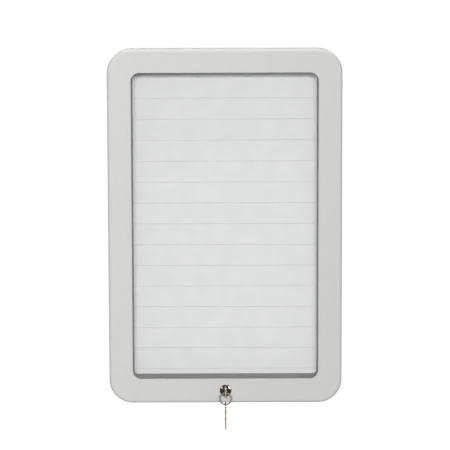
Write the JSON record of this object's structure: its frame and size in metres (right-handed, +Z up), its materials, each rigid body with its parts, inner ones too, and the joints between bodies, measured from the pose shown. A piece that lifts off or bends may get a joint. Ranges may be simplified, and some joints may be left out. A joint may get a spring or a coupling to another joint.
{
  "type": "lockable notice board",
  "caption": "Wall-hung lockable notice board: a rounded metal door with clear glazing, hinged along its top edge, closes over plain strips; cam lock with key, split ring and spare key.",
  "frame": {"origin": "middle of the case's back face, on the wall, halfway between its sides and between its top and bottom", "axes": "+X to the right as seen from the front, +Y into the wall, +Z up"},
  "size_m": [0.276, 0.0576, 0.4499],
  "materials": {
    "satin_silver": "satin anodised",
    "white_plastic": "matt",
    "grey_sheet": "mill",
    "clear_glazing": "clear acrylic sheet",
    "grey_rubber": "matt",
    "black_foam": "foam strip",
    "zinc_steel": "zinc plated",
    "chrome": "polished",
    "key_nickel": "nickel plated",
    "ring_steel": "nickel plated wire"
  },
  "bodies": {
    "case": {"back_panel": "grey_sheet", "case_frame": "satin_silver", "panel_rivet_1": "zinc_steel", "panel_rivet_2": "zinc_steel", "panel_rivet_3": "zinc_steel", "panel_rivet_4": "zinc_steel", "panel_rivet_5": "zinc_steel", "panel_rivet_6": "zinc_steel", "strip_channel_left": "grey_sheet", "strip_channel_right": "grey_sheet", "footer_ledge": "white_plastic", "name_strip_01": "white_plastic", "name_strip_02": "white_plastic", "name_strip_03": "white_plastic", "name_strip_04": "white_plastic", "name_strip_05": "white_plastic", "name_strip_06": "white_plastic", "name_strip_07": "white_plastic", "name_strip_08": "white_plastic", "name_strip_09": "white_plastic", "name_strip_10": "white_plastic", "name_strip_11": "white_plastic", "name_strip_12": "white_plastic", "name_strip_13": "white_plastic", "name_strip_14": "white_plastic", "header_strip": "white_plastic", "keeper_plate": "zinc_steel", "keeper_rivet_left": "zinc_steel", "keeper_rivet_right": "zinc_steel", "door_seal": "black_foam", "hinge_leaf_case": "zinc_steel", "hinge_pin": "zinc_steel", "case_hinge_rivet_1": "zinc_steel", "case_hinge_rivet_2": "zinc_steel", "case_hinge_rivet_3": "zinc_steel", "case_hinge_rivet_4": "zinc_steel"},
    "door": {"door_frame": "satin_silver", "glazing": "clear_glazing", "glazing_seal": "grey_rubber", "window_surround": "grey_rubber", "hinge_leaf_door": "zinc_steel", "door_hinge_rivet_1": "zinc_steel", "door_hinge_rivet_2": "zinc_steel", "door_hinge_rivet_3": "zinc_steel", "door_hinge_rivet_4": "zinc_steel", "lock_housing": "chrome", "lock_nut": "zinc_steel"},
    "plug": {"lock_plug": "chrome", "cam": "zinc_steel", "cam_washer": "zinc_steel", "cam_screw": "zinc_steel"},
    "lock_key": {"key": "key_nickel"},
    "ring": {"split_ring": "ring_steel"},
    "spare": {"spare_key": "key_nickel"}
  },
  "joints": [
    {"name": "door_hinge", "type": "hinge", "parent": "case", "child": "door", "pos_m": [0, -0.0123, 0.2078], "axis": [-1, 0, 0], "range_deg": [0, 110]},
    {"name": "lock_turn", "type": "hinge", "parent": "door", "child": "plug", "pos_m": [0, -0.04, -0.195], "axis": [0, 1, 0], "range_deg": [0, 90]},
    {"name": "key_withdraw", "type": "slide", "parent": "plug", "child": "lock_key", "axis": [0, -1, 0], "range_m": [0, 0.024]},
    {"name": "ring_swing", "type": "hinge", "parent": "lock_key", "child": "ring", "pos_m": [0, -0.05032, -0.19615], "axis": [1, 0, 0], "range_deg": [-90, 10]},
    {"name": "spare_key_slide", "type": "hinge", "parent": "ring", "child": "spare", "pos_m": [0, -0.05032, -0.20305], "axis": [0, 1, 0], "range_deg": [-110, 110]}
  ]
}
